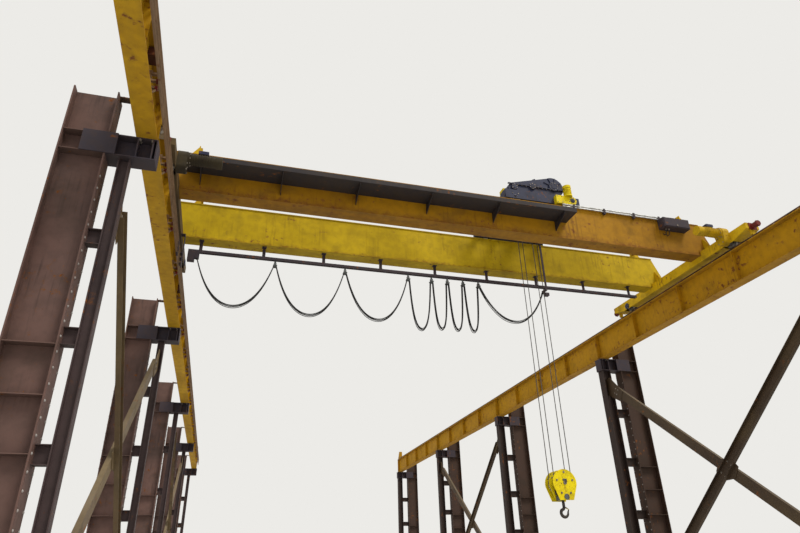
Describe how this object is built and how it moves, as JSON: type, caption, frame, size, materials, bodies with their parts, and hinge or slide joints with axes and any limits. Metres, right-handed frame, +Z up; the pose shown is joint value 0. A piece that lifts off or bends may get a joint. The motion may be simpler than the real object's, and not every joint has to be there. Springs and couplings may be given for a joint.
{
  "type": "overhead bridge crane",
  "caption": "Double girder overhead bridge crane on a columned runway, with trolley, hoist, hook block, footwalk and festoon.",
  "frame": {"origin": "on the floor, in the middle of the runway's box", "axes": "+X across the span, +Y along the runway, +Z up"},
  "size_m": [14.56, 38, 9.9953],
  "materials": {
    "column_paint": "worn brown-purple structural paint",
    "dark_paint": "worn black-blue paint, dusty",
    "crane_yellow": "worn safety yellow enamel with rust and dirt",
    "rail_steel": "rolled steel, polished on top",
    "machine_grey": "oily grey machine enamel",
    "buffer_red": "dark red paint",
    "bar_cover": "faded brown insulating cover",
    "rope_steel": "greased wire rope",
    "cable_rubber": "black rubber sheath",
    "block_yellow": "bright yellow enamel, chipped",
    "hook_steel": "forged steel, oiled"
  },
  "bodies": {
    "runway": {"main_columns": "column_paint", "crane_legs": "column_paint", "base_plates": "column_paint", "battens": "column_paint", "rising_braces": "column_paint", "falling_braces": "column_paint", "brace_gussets": "column_paint", "beam_ties": "column_paint", "head_beams": "dark_paint", "runway_beams": "crane_yellow", "runway_rails": "rail_steel", "runway_stops": "crane_yellow", "conductor_bars": "bar_cover", "conductor_brackets": "bar_cover"},
    "bridge": {"near_girder": "crane_yellow", "far_girder": "crane_yellow", "end_truck_left": "crane_yellow", "end_truck_right": "crane_yellow", "bridge_wheels": "rail_steel", "buffers": "buffer_red", "trolley_rails": "rail_steel", "trolley_stops": "crane_yellow", "footwalk": "dark_paint", "bridge_drives": "crane_yellow", "drive_panel": "dark_paint", "festoon_track": "dark_paint", "collector": "dark_paint"},
    "trolley": {"trolley_frame": "dark_paint", "trolley_wheels": "rail_steel", "hoist_drum": "rail_steel", "drum_bearings": "dark_paint", "hoist_gearbox": "machine_grey", "hoist_motor": "block_yellow", "hoist_brake": "machine_grey", "equalizer_sheave": "machine_grey", "trolley_drive": "block_yellow", "tow_arm": "dark_paint", "hoist_ropes": "rope_steel", "festoon_cable": "cable_rubber"},
    "hook_block": {"block_cheeks": "block_yellow", "block_sheaves": "rail_steel", "rope_turns": "rope_steel", "crosshead": "machine_grey"},
    "hook": {"hook": "hook_steel", "hook_latch": "block_yellow"},
    "carrier_1": {"carrier_1": "machine_grey"},
    "carrier_2": {"carrier_2": "machine_grey"},
    "carrier_3": {"carrier_3": "machine_grey"},
    "carrier_4": {"carrier_4": "machine_grey"},
    "carrier_5": {"carrier_5": "machine_grey"},
    "carrier_6": {"carrier_6": "machine_grey"},
    "carrier_7": {"carrier_7": "machine_grey"}
  },
  "joints": [
    {"name": "bridge_travel", "type": "slide", "parent": "runway", "child": "bridge", "axis": [0, 1, 0], "range_m": [-8.25, 23.25]},
    {"name": "trolley_travel", "type": "slide", "parent": "bridge", "child": "trolley", "axis": [1, 0, 0], "range_m": [-6.2, 2.6], "deforming": ["festoon_cable"]},
    {"name": "hoist_lift", "type": "slide", "parent": "trolley", "child": "hook_block", "axis": [0, 0, 1], "range_m": [-2.3, 5.4], "deforming": ["hoist_ropes"]},
    {"name": "hook_swivel", "type": "hinge", "parent": "hook_block", "child": "hook", "pos_m": [1.95, -7.5, 2.7], "axis": [0, 0, 1], "continuous": true},
    {"name": "carrier_1_travel", "type": "slide", "parent": "bridge", "child": "carrier_1", "axis": [1, 0, 0], "range_m": [-1.4273, 0.6044]},
    {"name": "carrier_2_travel", "type": "slide", "parent": "bridge", "child": "carrier_2", "axis": [1, 0, 0], "range_m": [-2.7448, 1.1569]},
    {"name": "carrier_3_travel", "type": "slide", "parent": "bridge", "child": "carrier_3", "axis": [1, 0, 0], "range_m": [-3.9923, 1.68]},
    {"name": "carrier_4_travel", "type": "slide", "parent": "bridge", "child": "carrier_4", "axis": [1, 0, 0], "range_m": [-4.3097, 1.8131]},
    {"name": "carrier_5_travel", "type": "slide", "parent": "bridge", "child": "carrier_5", "axis": [1, 0, 0], "range_m": [-4.4473, 1.8708]},
    {"name": "carrier_6_travel", "type": "slide", "parent": "bridge", "child": "carrier_6", "axis": [1, 0, 0], "range_m": [-4.585, 1.9285]},
    {"name": "carrier_7_travel", "type": "slide", "parent": "bridge", "child": "carrier_7", "axis": [1, 0, 0], "range_m": [-4.7226, 1.9863]}
  ],
  "couplings": [
    {"joint": "carrier_1_travel", "follows": "trolley_travel", "ratio": 0.2286},
    {"joint": "carrier_2_travel", "follows": "trolley_travel", "ratio": 0.4411},
    {"joint": "carrier_3_travel", "follows": "trolley_travel", "ratio": 0.6423},
    {"joint": "carrier_4_travel", "follows": "trolley_travel", "ratio": 0.6935},
    {"joint": "carrier_5_travel", "follows": "trolley_travel", "ratio": 0.7157},
    {"joint": "carrier_6_travel", "follows": "trolley_travel", "ratio": 0.7379},
    {"joint": "carrier_7_travel", "follows": "trolley_travel", "ratio": 0.7601}
  ]
}
